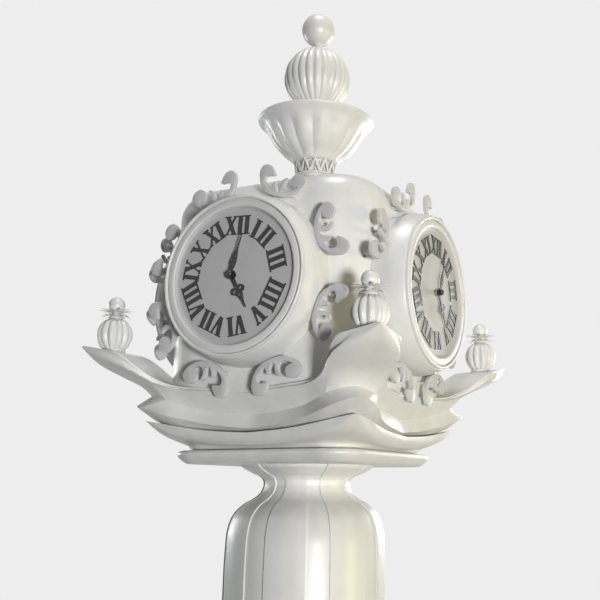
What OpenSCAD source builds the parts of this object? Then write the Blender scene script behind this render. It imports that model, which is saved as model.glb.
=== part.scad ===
// Four-dial street clock on a fluted pillar.
// Millimetres, +Z up, origin at the centre of the base on the ground.
// The front dial faces -Y, the right one +X, the back one +Y and the left one -X.

/* [Heights] */
// Height of the dial centres above the ground
dial_height = 2900; // [2700:10:3300]
// Height of the plinth under the pillar
plinth_height = 760; // [700:10:900]

/* [Case] */
// Half width of the case
case_half = 380; // [375:1:390]
// Radius of the case's upright edges
case_corner = 185; // [170:1:200]
// Radius of the case's top edges
case_round = 95; // [80:1:110]
// Height of the case above the dial centres
case_rise = 352; // [335:1:370]
// Depth of the case below the dial centres
case_drop = 350; // [346:1:352]
// Wall of the case
case_wall = 6; // [5:0.5:8]

/* [Dial drums] */
// Radius of a drum where it meets the case
drum_back_r = 272; // [266:1:276]
// Radius of a drum behind its bezel
drum_front_r = 254; // [253:1:258]
// Distance of the dial's flat face from the clock's axis
dial_face = 471; // [469:1:475]
// Radius of the dial plate
dial_r = 230; // [228:1:232]
// Inner radius of the bezel
bezel_inner_r = 217; // [214:1:220]
// Outer radius of the bezel
bezel_outer_r = 252; // [250:1:252]
// Height of the bezel's outer lip over the dial's flat face
bezel_rise = 15; // [12:1:18]

/* [Numerals and hands] */
// Radius of the numeral ring at mid height
numeral_r = 158; // [156:1:160]
// Height of a numeral
numeral_h = 60; // [52:1:64]
// Thickness of a numeral
numeral_t = 3; // [2:0.5:5]
// Length of the minute hand from its pivot
minute_len = 131; // [118:1:140]
// Length of the hour hand from its pivot
hour_len = 121; // [108:1:128]
// Thickness of a hand
hand_t = 3; // [2:0.5:3.5]
// Minute shown at rest
rest_minute = 2.75; // [0:0.25:59.75]
// Hour shown at rest
rest_hour = 5; // [0:1:11]

/* [Scroll ornaments] */
// Gap between the case and the back of the scrollwork
scroll_stand = 27; // [22:1:32]
// Thickness of a scroll
scroll_t = 12; // [8:1:16]
// Radius of a scroll's fixing stud
scroll_stud_r = 5; // [4:0.5:6]

/* [Tiers] */
// Half width of the upper tier at the tips of its corner lips
lip_half = 531; // [520:1:545]
// Rise of the lip tips over the tier's mid edge
lip_rise = 150; // [130:1:165]
// Depth of the upper tier below the case
upper_t = 125; // [110:1:140]
// Height of the lower tier at the middle of a side
lower_t = 42; // [30:1:50]
// Radius of the hollow through both tiers
tier_bore_r = 200; // [120:5:260]
// Thickness of the upper tier's rim around the case
rim_wall = 5; // [4:1:12]
// Half width of the head plate
plate_half = 336; // [328:1:346]
// Thickness of the head plate
plate_t = 41; // [36:1:46]
// Radius of the head plate's upright edges
plate_corner = 104; // [90:1:120]

/* [Pillar] */
// Radius of the shaft below the shoulder
shaft_r = 266; // [256:1:270]
// Radius of the neck
neck_r = 145; // [135:1:160]
// Radius of the flare under the head plate
flare_r = 230; // [215:1:245]
// Depth of the channels in the shaft
channel_depth = 5; // [3:0.5:8]
// Radius of the cable way up the pillar
cable_way_r = 60; // [50:1:70]

/* [Plinth and door] */
// Half width of the base flange
flange_half = 370; // [365:1:400]
// Thickness of the base flange
flange_t = 24; // [18:1:32]
// Half width of the plinth's box
box_half = 290; // [286:1:300]
// Wall of the plinth's box
box_wall = 12; // [8:1:16]
// Half distance between the anchor bolt holes
anchor_half = 330; // [326:1:336]
// Radius of an anchor bolt hole
anchor_r = 11; // [9:0.5:13]
// Radius of the cable entry in the base flange
entry_r = 45; // [40:1:55]
// Width of the hand hole
hole_w = 260; // [240:1:270]
// Height of the hand hole
hole_h = 400; // [360:1:420]
// Height of the middle of the hand hole above the ground
hole_z = 330; // [320:1:340]
// Lap of the door over the edge of the hand hole
door_lap = 20; // [16:1:22]
// Thickness of the door
door_t = 8; // [6:0.5:9]

/* [Crown] */
// Radius of the crown's ribbed ball
crown_ball_r = 121; // [112:1:128]
// Radius of the top ball
top_ball_r = 61; // [54:1:68]
// Radius of the bowl's rim
bowl_r = 210; // [198:1:222]
// Height of the bowl
bowl_h = 160; // [130:1:190]
// Height of the crown's foot with its leaf collar
pedestal_h = 168; // [135:1:200]
// Height of the ribbed ball's centre above the bowl's rim
ball_over_rim = 170; // [135:1:205]
// Distance between the centres of the crown's two balls
ball_step = 200; // [182:1:230]

/* [Corner finials] */
// Distance of each corner finial from the axis along X and along Y
finial_xy = 461; // [455:1:466]
// Radius of the ribbed corner balls
corner_ball_r = 57; // [52:1:62]
// Radius of the small knobs
knob_r = 27; // [23:1:30]

/* [Fits] */
// Radial clearance of a turning fit
run_fit = 0.05; // [0.02:0.01:0.08]
// Radial clearance of a fixing that passes through a hole
pass_fit = 0.2; // [0.1:0.05:0.4]
// Gap around a piece that is set into another
set_fit = 0.3; // [0.2:0.05:0.5]

/* [Hidden] */
scroll_face = case_half + scroll_stand + scroll_t;
SIDES = ["front", "right", "back", "left"];

// ---- finishes
cast_white = [0.86, 0.86, 0.84];
scroll_grey = [0.68, 0.68, 0.69];
dial_grey = [0.60, 0.60, 0.60];
black_enamel = [0.04, 0.04, 0.04];
steel = [0.62, 0.64, 0.66];
gear_brass = [0.78, 0.62, 0.30];

// ---- curves and lofts
function bezier(p, n) = [for (i = [0:n]) let (t = i / n, s = 1 - t)
    s * s * s * p[0] + 3 * s * s * t * p[1] + 3 * s * t * t * p[2] + t * t * t * p[3]];

// A smooth closed curve through the points p, with n steps between two of them
function smooth_loop(p, n) = let (m = len(p))
    [for (i = [0:m - 1], k = [0:n - 1]) let (
        t = k / n,
        a = p[(i + m - 1) % m],
        b = p[i],
        c = p[(i + 1) % m],
        d = p[(i + 2) % m])
        0.5 * (2 * b + (c - a) * t + (2 * a - 5 * b + 4 * c - d) * t * t
            + (3 * b - a - 3 * c + d) * t * t * t)];

// A solid skinned over closed rows of points, listed from the bottom up; the end rows are level
module loft(rows) {
    n = len(rows[0]);
    m = len(rows);
    points = concat([for (row = rows) each row], [[0, 0, rows[0][0][2]], [0, 0, rows[m - 1][0][2]]]);
    sides = [for (j = [0:m - 2], i = [0:n - 1]) let (
        a = j * n + i,
        b = j * n + (i + 1) % n,
        c = b + n,
        d = a + n)
        each [[a, d, c], [a, c, b]]];
    bottom = [for (i = [0:n - 1]) [i, (i + 1) % n, m * n]];
    top = [for (i = [0:n - 1]) [(m - 1) * n + (i + 1) % n, (m - 1) * n + i, m * n + 1]];
    polyhedron(points, concat(sides, bottom, top), convexity = 6);
}

// A fluted ring of three columns a flute: the profile holds [radius, height, share of the depth], anticlockwise
module fluted_ring(profile, flutes, depth) {
    m = len(profile);
    n = 3 * flutes;
    points = [for (i = [0:n - 1]) let (
        a = 360 * (i + 0.5) / n,
        valley = 1 - abs(cos(flutes * a / 2)))
        for (p = profile) let (r = p[0] * (1 - depth * valley * p[2])) [r * cos(a), r * sin(a), p[1]]];
    faces = [for (i = [0:n - 1], k = [0:m - 1]) let (
        a = i * m + k,
        b = ((i + 1) % n) * m + k,
        c = ((i + 1) % n) * m + (k + 1) % m,
        d = i * m + (k + 1) % m,
        flat_quad = profile[k][2] == profile[(k + 1) % m][2])
        each flat_quad ? [[a, d, c, b]] : [[a, d, c], [a, c, b]]];
    polyhedron(points, faces, convexity = 6);
}

// The profile of a ball with flats at its poles and a bore along its axis
function ball_profile(r, bore, flat_low, flat_high, n) = let (
    low = -acos(flat_low / r),
    high = acos(flat_high / r))
    concat([[bore, r * sin(low), 0]],
        [for (i = [0:n]) let (a = low + (high - low) * i / n) [r * cos(a), r * sin(a), 1]],
        [[bore, r * sin(high), 0]]);

// A square body with round upright edges: the child is its edge profile, from the edge's centre out
module square_turned(half, corner, low, high) {
    flat = half - corner;
    translate([-flat, -flat, low]) cube([2 * flat, 2 * flat, high - low]);
    for (k = [0:3]) rotate([0, 0, 90 * k]) {
        translate([flat, flat, 0]) rotate([90, 0, 0]) linear_extrude(2 * flat) children();
        translate([flat, flat, 0]) rotate_extrude($fn = 96) children();
    }
}

module rounded_square(half, corner) {
    square([2 * half, 2 * (half - corner)], center = true);
    square([2 * (half - corner), 2 * half], center = true);
    for (x = [-1, 1], y = [-1, 1]) translate([x, y] * (half - corner)) circle(corner, $fn = 96);
}

// ---- one face of the head: x to the right, y up, z outwards from the clock's axis
module face(side) {
    translate([0, 0, dial_height]) rotate([0, 0, 90 * side]) rotate([90, 0, 0]) children();
}

// ---- drums, bezels and dials
drum_depth = 45;
drum_wall = 9;
case_opening = drum_back_r + set_fit;
dial_back = dial_face - 4;
dial_rim = dial_face + 7;
drum_lip = dial_face + 3;
seat_t = 6;
seat_r = dial_r + set_fit;
bezel_lip = dial_face + bezel_rise;

module drum(side) {
    side_curve = bezier([
        [drum_back_r, case_half],
        [drum_back_r + 3, case_half + 40],
        [drum_front_r + 8, drum_lip - 14],
        [drum_front_r, drum_lip]], 12);
    color(cast_white) face(side) rotate_extrude($fn = 180) polygon(concat(
        [[drum_back_r, case_half - drum_depth]],
        side_curve,
        [[seat_r, drum_lip],
        [seat_r, dial_back],
        [dial_r - 15, dial_back],
        [dial_r - 15, dial_back - seat_t],
        [drum_front_r - drum_wall, dial_back - seat_t - 8],
        [drum_back_r - drum_wall, case_half],
        [drum_back_r - drum_wall, case_half - drum_depth]]));
}

module bezel(side) {
    groove_r = bezel_outer_r - 9;
    inner_bead = bezier([
        [bezel_inner_r, dial_rim + 2],
        [bezel_inner_r + 1, dial_rim + 6],
        [bezel_inner_r + 8, bezel_lip - 2],
        [groove_r - 6, bezel_lip - 4]], 6);
    outer_bead = bezier([
        [groove_r, bezel_lip - 3],
        [groove_r + 1, bezel_lip + 1],
        [bezel_outer_r, bezel_lip + 1],
        [bezel_outer_r, bezel_lip - 5]], 6);
    color(cast_white) face(side) rotate_extrude($fn = 180) polygon(concat(
        [[bezel_inner_r, dial_rim]],
        inner_bead,
        [[groove_r - 3, bezel_lip - 6], [groove_r - 2, bezel_lip - 11], [groove_r, bezel_lip - 11]],
        outer_bead,
        [[bezel_outer_r, drum_lip], [seat_r, drum_lip], [seat_r, dial_rim]]));
}

module dial(side) {
    dish = bezier([
        [dial_flat_r, dial_face],
        [dial_flat_r + 12, dial_face],
        [bezel_inner_r - 6, dial_face + 2],
        [bezel_inner_r - 1, dial_rim]], 8);
    color(dial_grey) face(side) rotate_extrude($fn = 180) polygon(concat(
        [[dial_hole_r, dial_back], [dial_r, dial_back], [dial_r, dial_rim]],
        [for (i = [len(dish) - 1:-1:0]) dish[i]],
        [[dial_hole_r, dial_face]]));
}

// ---- numerals: each hour is [upright strokes before, V or X, upright strokes after]
hours = [
    [1, "", 0], [2, "", 0], [3, "", 0], [4, "", 0], [0, "V", 0], [0, "V", 1],
    [0, "V", 2], [0, "V", 3], [1, "X", 0], [0, "X", 0], [0, "X", 1], [0, "X", 2]];
hour_angles = [29, 46, 76, 117, 144, 173, 206, 246, 281, 306, 331, 363];
serif_t = 3.5;
thick = 13;
thin = 5;
pitch_i = 24;
big_w = 44;
// The dial is flat out to the corners of its widest numeral
dial_flat_r = norm([(3 * pitch_i + big_w) / 2, numeral_r + numeral_h / 2]) + 1;

// A slanting stroke from x at the top to x at the foot, ending inside the serifs
module stroke(x_top, x_foot, w) {
    h = numeral_h / 2 - serif_t / 2;
    polygon([[x_top - w / 2, h], [x_top + w / 2, h], [x_foot + w / 2, -h], [x_foot - w / 2, -h]]);
}

module serifs(x, w, up, down) {
    if (up) translate([x - w / 2, numeral_h / 2 - serif_t]) square([w, serif_t]);
    if (down) translate([x - w / 2, -numeral_h / 2]) square([w, serif_t]);
}

module uprights(count) {
    if (count > 0) {
        serifs(count * pitch_i / 2, count * pitch_i - 1, true, true);
        for (k = [1:count]) translate([(k - 0.5) * pitch_i, 0]) stroke(0, 0, thick);
    }
}

module big_letter(c) {
    if (c == "V") {
        stroke(-12, 1, thick);
        stroke(14, 3, thin);
        serifs(-12, 22, true, false);
        serifs(13, 15, true, false);
    }
    if (c == "X") {
        stroke(-13, 13, thick);
        stroke(14, -14, thin);
        serifs(-13, 22, true, false);
        serifs(14, 14, true, false);
        serifs(13, 22, false, true);
        serifs(-14, 14, false, true);
    }
}

module numerals(side) {
    color(black_enamel) face(side) translate([0, 0, dial_face]) linear_extrude(numeral_t)
        for (h = [0:11]) let (
            before = hours[h][0],
            big = hours[h][1] == "" ? 0 : big_w,
            after = hours[h][2],
            total = (before + after) * pitch_i + big)
            rotate([0, 0, -hour_angles[h]]) translate([-total / 2, numeral_r]) {
                uprights(before);
                translate([before * pitch_i + big / 2, 0]) big_letter(hours[h][1]);
                translate([before * pitch_i + big, 0]) uprights(after);
            }
}

// ---- motion works behind each dial
arbor_r = 4;
tube_r = 8;
dial_hole_r = tube_r + 2;
minute_module = 2.5;
hour_module = 2.4;
cannon_teeth = 12;
motion_teeth = 36;
pinion_teeth = 10;
hour_teeth = 40;
centre_distance = minute_module * (cannon_teeth + motion_teeth) / 2;
stud_r = 3;
tooth_slack = 0.25;
wheel_t = 5;
hour_wheel_z = dial_back - 14;
pinion_z = hour_wheel_z - 6;
motion_wheel_z = pinion_z - wheel_t;
cannon_z = motion_wheel_z - 1;
cannon_t = wheel_t + 2;
plate_z = dial_back - 35;
plate_thick = 3;
motor_len = 57;
hand_gap = 3;
hour_hand_z = dial_face + 11;
minute_hand_z = hour_hand_z + hand_t + hand_gap;

function involute(a) = tan(a) * 180 / PI - a;

// Half the angle of a tooth at radius r
function tooth_half(teeth, mod, r, slack) = let (
    pitch_r = teeth * mod / 2,
    base_r = pitch_r * cos(20))
    90 / teeth - slack / pitch_r * 180 / PI + involute(20)
        - (r > base_r ? involute(acos(base_r / r)) : 0);

module gear_outline(teeth, mod, tip) {
    pitch_r = teeth * mod / 2;
    radii = [pitch_r - 1.35 * mod, pitch_r, pitch_r + tip * mod];
    flank = [for (r = radii) [r, tooth_half(teeth, mod, r, tooth_slack)]];
    polygon([for (k = [0:teeth - 1]) each concat(
        [for (i = [0:2]) let (a = 360 * k / teeth - flank[i][1]) flank[i][0] * [cos(a), sin(a)]],
        [for (i = [2:-1:0]) let (a = 360 * k / teeth + flank[i][1]) flank[i][0] * [cos(a), sin(a)]])]);
}

module minute_arbor(side) {
    color(steel) face(side) {
        translate([0, 0, plate_z - 30]) cylinder(h = minute_hand_z + 6 - plate_z + 30, r = arbor_r, $fn = 48);
        translate([0, 0, cannon_z]) rotate([0, 0, 90]) linear_extrude(cannon_t)
            gear_outline(cannon_teeth, minute_module, 0.8);
    }
}

module motion_wheel(side) {
    color(gear_brass) face(side) translate([0, centre_distance, 0]) difference() {
        union() {
            translate([0, 0, motion_wheel_z]) rotate([0, 0, 90 + 180 / motion_teeth])
                linear_extrude(wheel_t) gear_outline(motion_teeth, minute_module, 0.75);
            translate([0, 0, motion_wheel_z]) rotate([0, 0, 90])
                linear_extrude(hour_wheel_z + wheel_t + 1 - motion_wheel_z)
                    gear_outline(pinion_teeth, hour_module, 0.8);
        }
        translate([0, 0, motion_wheel_z - 1]) cylinder(h = 40, r = stud_r + run_fit, $fn = 48);
    }
}

module hour_wheel(side) {
    color(gear_brass) face(side) difference() {
        union() {
            translate([0, 0, hour_wheel_z]) rotate([0, 0, 90 + 180 / hour_teeth])
                linear_extrude(wheel_t) gear_outline(hour_teeth, hour_module, 0.75);
            translate([0, 0, hour_wheel_z]) cylinder(h = hour_hand_z + hand_t - hour_wheel_z, r = tube_r, $fn = 64);
        }
        translate([0, 0, hour_wheel_z - 1]) cylinder(h = 60, r = arbor_r + run_fit, $fn = 48);
    }
}

module movement(side) {
    post_r = 5;
    color(steel) face(side) difference() {
        union() {
            translate([-85, -65, plate_z]) cube([170, 155, plate_thick]);
            for (p = [[-70, -50], [70, -50], [-70, 75], [70, 75]])
                translate([p[0], p[1], plate_z]) cylinder(h = dial_back - plate_z, r = post_r, $fn = 32);
            translate([0, centre_distance, plate_z])
                cylinder(h = dial_back - 4 - plate_z, r = stud_r, $fn = 48);
            translate([0, 0, plate_z - motor_len]) cylinder(h = motor_len, r = 34, $fn = 96);
            translate([-30, -62, plate_z - 26]) cube([60, 40, 26]);
        }
        translate([0, 0, plate_z - 34]) cylinder(h = 60, r = arbor_r + run_fit, $fn = 48);
    }
}

// ---- hands, drawn pointing up from the pivot
module minute_outline() {
    difference() {
        union() {
            circle(14, $fn = 64);
            polygon([[-4, 8], [-6, 22], [-9, 34], [-9, 46], [-7, 58], [-4, 72], [-2, 80],
                [-1, minute_len - 3], [0, minute_len], [1, minute_len - 3],
                [2, 80], [4, 72], [7, 58], [9, 46], [9, 34], [6, 22], [4, 8]]);
        }
        translate([0, 31]) circle(3.5, $fn = 32);
        translate([0, 44]) circle(4, $fn = 32);
        translate([0, 58]) circle(2.5, $fn = 32);
    }
}

module hour_outline() {
    difference() {
        union() {
            circle(15, $fn = 64);
            polygon([[-5, 8], [-4.5, 52], [4.5, 52], [5, 8]]);
            for (x = [-1, 1]) translate([12 * x, 57]) circle(11.5, $fn = 48);
            translate([0, 74]) circle(10, $fn = 48);
            polygon([[-7, 78], [-3, 96], [-1, hour_len - 3], [0, hour_len], [1, hour_len - 3], [3, 96], [7, 78]]);
        }
        for (x = [-1, 1]) translate([12 * x, 57]) circle(6.5, $fn = 32);
        translate([0, 74]) circle(5.5, $fn = 32);
    }
}

minute_angle = rest_minute * 6;
hour_angle = rest_hour * 30 + rest_minute / 2;

module hour_hand(side) {
    color(black_enamel) face(side) translate([0, 0, hour_hand_z]) rotate([0, 0, -hour_angle]) difference() {
        linear_extrude(hand_t) hour_outline();
        translate([0, 0, -1]) cylinder(h = hand_t + 2, r = tube_r + run_fit, $fn = 64);
    }
}

module minute_hand(side) {
    cap_h = 9;
    color(black_enamel) face(side) translate([0, 0, minute_hand_z]) rotate([0, 0, -minute_angle]) difference() {
        union() {
            linear_extrude(hand_t) minute_outline();
            cylinder(h = 6, r = 10, $fn = 64);
            translate([0, 0, 4]) intersection() {
                sphere(r = 10, $fn = 64);
                cylinder(h = cap_h, r = 10, $fn = 64);
            }
        }
        translate([0, 0, -1]) cylinder(h = 7, r = arbor_r + run_fit / 2, $fn = 48);
    }
}

// ---- scroll ornaments: one flat C-scroll, lateral and radial from the dial centre
scroll_line = [
    [44, 336], [51, 357], [67, 366], [86, 359], [98, 340], [100, 326], [72, 327], [65, 315], [69, 300],
    [86, 282], [97, 301], [105, 299], [107, 285], [113, 271], [119, 269], [124, 276], [124, 290],
    [131, 303], [141, 309], [150, 307], [142, 299], [137, 288], [138, 276], [146, 267], [160, 264],
    [184, 272], [170, 277], [162, 288], [161, 299], [167, 310], [180, 316], [195, 314], [207, 305],
    [213, 293], [211, 279], [189, 259], [150, 248], [107, 256], [72, 273], [48, 308]];
stud_places = [[154, 256], [67, 289]];
stud_depth = 42;

module scroll() {
    linear_extrude(scroll_t) polygon(smooth_loop(scroll_line, 2));
    for (p = stud_places) translate([p[0], p[1], -scroll_stud_h()]) cylinder(
        h = scroll_stud_h() + 1, r = scroll_stud_r, $fn = 32);
}

function scroll_stud_h() = scroll_face - scroll_t - case_half + stud_depth;

// The eight places of the scrolls around a dial
module eight_places() {
    for (k = [0:3]) rotate([0, 0, 90 * k]) {
        children();
        mirror([1, 0, 0]) children();
    }
}

module scrolls(side) {
    color(scroll_grey) face(side) translate([0, 0, scroll_face - scroll_t]) eight_places() scroll();
}

// ---- case
module case_profile(wall) {
    r = case_corner - wall;
    t = case_round - wall;
    square([r - t, case_rise - wall]);
    square([r, case_rise - wall - t]);
    translate([r - t, case_rise - wall - t]) circle(t, $fn = 96);
    translate([0, -case_drop - (wall > 0 ? 1 : 0)]) square([r, case_drop + 1]);
}

module case() {
    lid = case_rise - case_wall;
    color(cast_white) difference() {
        translate([0, 0, dial_height]) square_turned(case_half, case_corner, -case_drop, case_rise)
            intersection() {
                case_profile(0);
                translate([0, -case_drop]) square([case_corner, case_drop + case_rise]);
            }
        translate([0, 0, dial_height]) square_turned(case_half - case_wall, case_corner - case_wall,
            -case_drop - 1, lid)
            intersection() {
                case_profile(case_wall);
                translate([0, -case_drop - 1]) square([case_corner, case_drop + case_rise]);
            }
        for (side = [0:3]) face(side) {
            translate([0, 0, case_half - 40]) cylinder(h = 60, r = case_opening, $fn = 180);
            eight_places() for (p = stud_places)
                translate([p[0], p[1], case_half - 60]) cylinder(h = 70, r = scroll_stud_r + pass_fit, $fn = 32);
        }
        translate([0, 0, dial_height + lid - 1]) cylinder(h = case_wall + 2, r = crown_rod_r + pass_fit, $fn = 32);
    }
}

// ---- tiers: heights are measured from the dial centres
rim_half = case_half + rim_wall;
rim_z = 9 - case_drop;
tier_seat = case_drop + upper_t;
tier_foot = tier_seat + lower_t;
seat_half = case_half * 0.79;
seat_corner = seat_half * 0.267;

// Share of the way from a row's mid edge to its corner, in plan, by the share of the half width
swing = [
    [0, 0], [0.44, 0.08], [0.545, 0.23], [0.58, 0.36], [0.63, 0.6], [0.66, 0.74], [0.68, 0.85], [0.72, 1], [1, 1]];
soft_swing = [[0, 0], [0.29, 0.2], [0.44, 0.33], [0.53, 0.47], [0.625, 0.75], [0.72, 1], [1, 1]];
// The same for the height
climb = [
    [0, 0], [0.44, 0.12], [0.545, 0.2], [0.58, 0.29], [0.63, 0.44], [0.66, 0.55], [0.68, 0.68], [0.705, 0.8], [1, 1]];
soft_climb = [
    [0, 0], [0.29, 0.14], [0.44, 0.26], [0.53, 0.37], [0.625, 0.49], [0.72, 0.61], [0.79, 0.73], [0.86, 0.84], [1, 1]];
row_stations = [0, 0.29, 0.44, 0.49, 0.53, 0.565, 0.6, 0.63, 0.66, 0.69];

function blend(t, sharp, soft, w) = lookup(t, sharp) * (1 - w) + lookup(t, soft) * w;

// An eighth of a row: mid half width, corner half width, corner radius, mid height, corner height, softness
function octant(mid, half, corner, z_mid, z_corner, soft) = let (
    start = half - corner,
    span = min(half, start / 0.72),
    turn = max(0.72, start / half))
    concat(
        [for (t = row_stations) [
            t * span,
            mid + (half - mid) * blend(t, swing, soft_swing, soft),
            z_mid + (z_corner - z_mid) * blend(t, climb, soft_climb, soft)]],
        [for (a = [0, 15, 30, 45]) [
            start + corner * sin(a),
            start + corner * cos(a),
            z_mid + (z_corner - z_mid) * blend(turn + (1 - turn) * sin(a), climb, soft_climb, soft)]]);

function tier_row(mid, half, corner, z_mid, z_corner, soft) = let (
    eighth = octant(mid, half, corner, z_mid, z_corner, soft),
    quarter = concat(
        [for (p = eighth) [p[1], p[0], p[2]]],
        [for (i = [len(eighth) - 2:-1:1]) eighth[i]]))
    [for (k = [0:3], p = quarter) let (c = cos(90 * k), s = sin(90 * k))
        [c * p[0] - s * p[1], s * p[0] + c * p[1], p[2]]];

function level_row(half, corner, z) = tier_row(half, half, corner, z, z, 0);

// The top surface of the upper tier along one axis
module top_prism() {
    line = [for (t = climb) [t[0] * lip_half, rim_z + lip_rise * t[1]]];
    rotate([90, 0, 0]) translate([0, 0, -2 * lip_half]) linear_extrude(4 * lip_half) polygon(concat(
        [[-2 * lip_half, -tier_foot]],
        [[2 * lip_half, -tier_foot]],
        [[2 * lip_half, rim_z + lip_rise]],
        [for (i = [len(line) - 1:-1:0]) line[i]],
        [for (p = line) if (p[0] > 0) [-p[0], p[1]]],
        [[-2 * lip_half, rim_z + lip_rise]]));
}

lip_edge = 5;
finial_ground = rim_z + lip_rise * lookup(finial_xy / lip_half, climb);
finial_seat = finial_ground + 6;
corner_rod_r = 5;
corner_rod_foot = finial_seat - 42;

// Rows from the seat up: middle half width by the case's, corner half width and corner radius by the lip's,
// middle height by the rim's, corner height by the tip's, softness
upper_rows = [
    [0.892, 0.733, 0.151, 0.104, 0.232, 1],
    [0.934, 0.783, 0.092, 0.142, 0.356, 1],
    [0.905, 0.753, 0.211, 0.455, 0.496, 0.8],
    [1.018, 0.817, 0.217, 0.888, 0.62, 0.6],
    [1.016, 0.895, 0.205, 0.925, 0.725, 0.4],
    [1.013, 0.989, 0.181, 0.948, 0.856, 0.15]];

module at_head_corners() {
    for (k = [0:3]) rotate([0, 0, 90 * k]) translate([finial_xy, finial_xy, 0]) children();
}

module upper_tier() {
    tip_z = rim_z + lip_rise;
    rim_h = tier_seat + rim_z;
    tip_h = tier_seat + tip_z;
    color(cast_white) translate([0, 0, dial_height]) difference() {
        union() {
            intersection() {
                loft(concat(
                    [level_row(seat_half, seat_corner, -tier_seat)],
                    [for (r = upper_rows) tier_row(case_half * r[0], lip_half * r[1], lip_half * r[2],
                        rim_h * r[3] - tier_seat, tip_h * r[4] - tier_seat, r[5])],
                    [tier_row(rim_half, lip_half, lip_edge + 1, rim_z - lip_edge, tip_z - lip_edge, 0)],
                    [[for (p = tier_row(rim_half, lip_half, lip_edge + 1, 0, 0, 0)) [p[0], p[1], tip_z + 20]]]));
                top_prism();
                rotate([0, 0, 90]) top_prism();
            }
            at_head_corners() translate([0, 0, finial_ground - 30])
                cylinder(h = finial_seat - finial_ground + 30, r = ball_foot_r + 2, $fn = 48);
        }
        translate([0, 0, -case_drop]) linear_extrude(2 * case_drop)
            rounded_square(case_half + set_fit, case_corner + set_fit);
        translate([0, 0, -tier_seat - 1]) cylinder(h = tier_seat, r = tier_bore_r, $fn = 96);
        at_head_corners() translate([0, 0, corner_rod_foot - 1])
            cylinder(h = 60, r = corner_rod_r + pass_fit, $fn = 32);
    }
}

// The same for the lower tier: widths and corner radius by the case's half width, heights by its own
lower_rows = [
    [0.834, 0.834, 0.337, 0.12, 0.36],
    [0.868, 0.855, 0.329, 0.21, 0.55],
    [0.905, 0.911, 0.35, 0.31, 0.81],
    [0.961, 0.979, 0.242, 0.69, 1.38],
    [0.968, 1.011, 0.039, 1.14, 2.21]];

module lower_tier() {
    color(cast_white) translate([0, 0, dial_height]) difference() {
        loft(concat(
            [level_row(seat_half, seat_corner, -tier_foot)],
            [for (r = lower_rows) tier_row(case_half * r[0], case_half * r[1], case_half * r[2],
                lower_t * r[3] - tier_foot, lower_t * r[4] - tier_foot, 1)],
            [level_row(seat_half * 1.04, seat_corner, -tier_seat)]));
        translate([0, 0, -tier_foot - 1]) cylinder(h = lower_t + 2, r = tier_bore_r, $fn = 96);
    }
}

module head_plate() {
    foot = -tier_foot - plate_t;
    color(cast_white) translate([0, 0, dial_height]) difference() {
        square_turned(plate_half, plate_corner, foot, -tier_foot) polygon([
            [0, foot],
            [plate_corner - 32, foot],
            [plate_corner - 8, foot + 19],
            [plate_corner, foot + 30],
            [plate_corner - 2, foot + 36],
            [plate_corner - 8, -tier_foot],
            [0, -tier_foot]]);
        translate([0, 0, foot - 1]) cylinder(h = plate_t + 2, r = cable_way_r, $fn = 96);
    }
}

// ---- pillar
channel_arc = 16.5;
pillar_turn = -6;
pillar_top = dial_height - tier_foot - plate_t;
pillar_bore_r = 235;
bore_cover = 380;
pillar_bore_top = pillar_top - bore_cover;
// Depth below the pillar's top and share of the way out from the neck
flare_line = [[0, 0.93], [11, 0.81], [26, 0.49], [37, 0.19], [55, 0.01]];
shoulder_line = [
    [71, 0], [91, 0.09], [110, 0.27], [127, 0.52], [151, 0.735], [180, 0.876], [221, 0.959], [268, 0.983], [329, 1]];

function pillar_line(inset) = concat(
    [for (p = flare_line) [neck_r + (flare_r - neck_r) * p[1] - inset, pillar_top - p[0]]],
    [for (p = shoulder_line) [neck_r + (shaft_r - neck_r) * p[1] - inset, pillar_top - p[0]]]);

// A smooth open curve through the points p, with n steps between two of them
function smooth_line(p, n) = let (m = len(p))
    concat([for (i = [0:m - 2], k = [0:n - 1]) let (
        t = k / n,
        a = p[max(i - 1, 0)],
        b = p[i],
        c = p[i + 1],
        d = p[min(i + 2, m - 1)])
        0.5 * (2 * b + (c - a) * t + (2 * a - 5 * b + 4 * c - d) * t * t
            + (3 * b - a - 3 * c + d) * t * t * t)], [p[m - 1]]);

module pillar_solid(inset) {
    rotate_extrude($fn = 128) polygon(concat(
        [[0, plinth_height], [0, pillar_top]],
        smooth_line(pillar_line(inset), 2),
        [[shaft_r - inset, plinth_height]]));
}

module column() {
    half_rib = (45 - channel_arc) / 2;
    reach = 2 * shaft_r;
    color(cast_white) difference() {
        union() {
            pillar_solid(channel_depth);
            intersection() {
                pillar_solid(0);
                for (k = [0:7]) rotate([0, 0, 45 * k + 22.5 + pillar_turn])
                    translate([0, 0, plinth_height]) linear_extrude(pillar_top - plinth_height)
                        polygon([
                            [0, 0],
                            [reach * cos(half_rib), -reach * sin(half_rib)],
                            [reach * cos(half_rib), reach * sin(half_rib)]]);
            }
            translate([0, 0, plinth_height]) cylinder(h = 36, r = shaft_r + 14, $fn = 128);
        }
        translate([0, 0, plinth_height - 1])
            cylinder(h = pillar_bore_top - plinth_height + 1, r = pillar_bore_r, $fn = 128);
        translate([0, 0, plinth_height]) cylinder(h = pillar_top, r = cable_way_r, $fn = 96);
    }
}

// ---- plinth and door
cap_t = 60;
cap_half = box_half + 30;
foot_h = 90;
foot_half = box_half + 14;
door_gap = 0.5;
door_w = hole_w + 2 * door_lap;
door_h = hole_h + 2 * door_lap;
knuckle_r = 8;
hinge_pin_r = 4;
hinge_x = -door_w / 2 - knuckle_r - 2;
hinge_y = -box_half - knuckle_r - 1;
knuckle_h = 24;
hinge_dz = hole_h / 2 - 60;

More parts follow.
